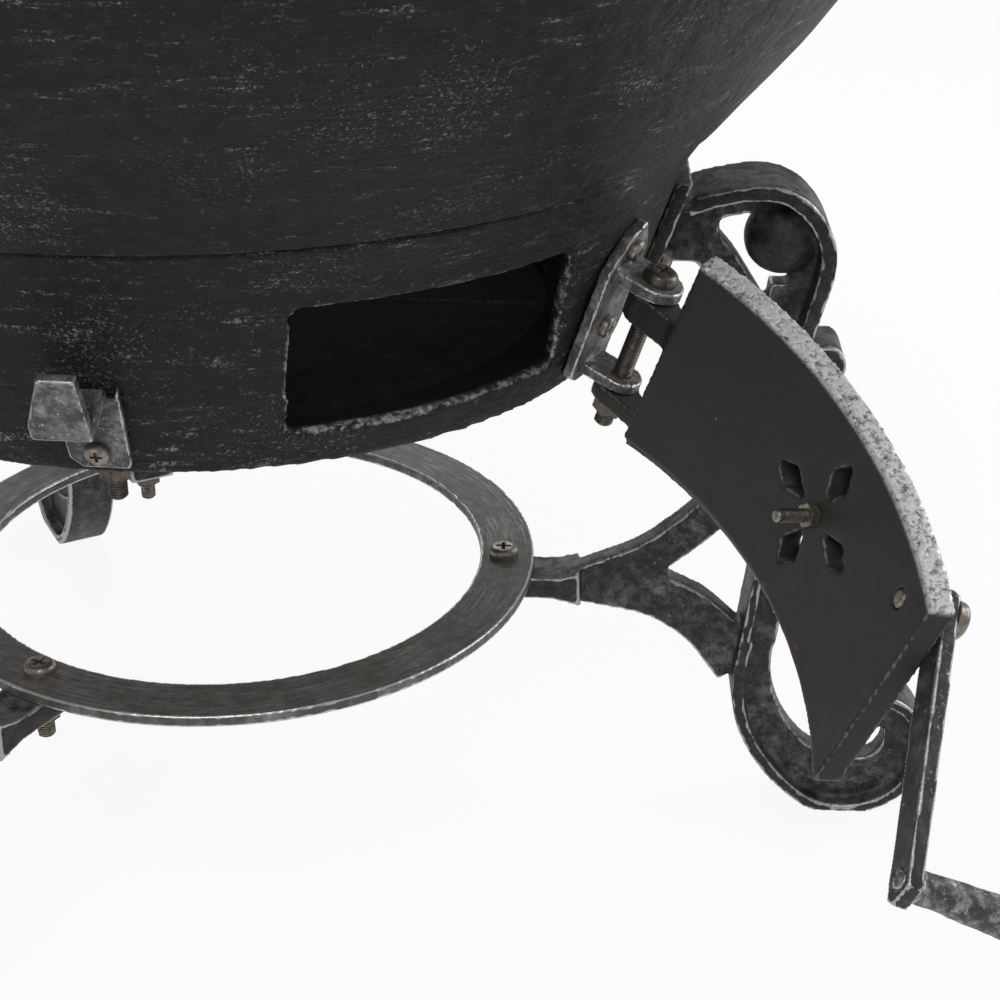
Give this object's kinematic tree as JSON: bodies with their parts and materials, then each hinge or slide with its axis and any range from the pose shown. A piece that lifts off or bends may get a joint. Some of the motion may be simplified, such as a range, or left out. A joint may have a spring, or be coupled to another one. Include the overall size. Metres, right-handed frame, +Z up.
{
  "type": "fire pit",
  "caption": "Cast iron fire pit: a flared bowl over a conical ash drum with a hinged, dampered and latched ash door, on scrolled legs tied by a foot ring.",
  "frame": {"origin": "on the floor under the middle of the whole part's box with the ash door open, which is 54.4 mm in front of the bowl's own axis", "axes": "+Z up, parallel to the bowl's axis; -Y is the front, between the two front legs, where the ash door's opening is; +X is to the viewer's right from the front"},
  "size_m": [0.5454, 0.698, 0.4395],
  "materials": {
    "black_iron": "rough sand-cast surface painted dark charcoal, with worn silver flecks",
    "rubbed_iron": "dark iron with silver-rubbed edges",
    "raw_iron": "bare heat-darkened iron",
    "zinc_steel": "dull zinc-plated steel with some rust"
  },
  "bodies": {
    "pit": {"drum": "black_iron", "fire_bowl": "black_iron", "ash_floor": "black_iron", "floor_bolts": "zinc_steel", "floor_nuts": "zinc_steel", "joint_bolts": "zinc_steel", "joint_nuts": "zinc_steel", "foot_ring": "rubbed_iron", "leg_right": "rubbed_iron", "leg_left": "rubbed_iron", "leg_rear": "rubbed_iron", "ring_screws": "zinc_steel", "ring_nuts": "zinc_steel", "leg_pad_screws": "zinc_steel", "leg_pad_nuts": "zinc_steel", "hinge_bracket": "rubbed_iron", "bracket_screws": "zinc_steel", "bracket_nuts": "zinc_steel", "hinge_pin": "zinc_steel", "hinge_nut": "zinc_steel", "catch": "rubbed_iron", "catch_screws": "zinc_steel", "catch_nuts": "zinc_steel"},
    "door_leaf": {"door": "black_iron", "damper_bolt": "zinc_steel", "damper_nut": "zinc_steel", "latch_screw": "zinc_steel"},
    "damper": {"damper_disc": "zinc_steel"},
    "latch": {"latch_bar": "black_iron", "handle": "rubbed_iron"},
    "grate": {"fire_grate": "raw_iron"}
  },
  "joints": [
    {"name": "door_hinge", "type": "hinge", "parent": "pit", "child": "door_leaf", "pos_m": [0.09342, -0.09686, 0.24175], "axis": [0.1683, -0.2724, 0.9473], "range_deg": [-86.5, 50]},
    {"name": "damper_turn", "type": "hinge", "parent": "door_leaf", "child": "damper", "pos_m": [0.09963, -0.19568, 0.22622], "axis": [0.9748, -0.0014, -0.2231], "range_deg": [-18, 27]},
    {"name": "latch_pivot", "type": "hinge", "parent": "door_leaf", "child": "latch", "pos_m": [0.10653, -0.25096, 0.2179], "axis": [-0.818, 0.3915, 0.4214], "range_deg": [0, 34]},
    {"name": "grate_lift_out", "type": "slide", "parent": "pit", "child": "grate", "axis": [0, 0, 1], "range_m": [0, 0.16]}
  ]
}
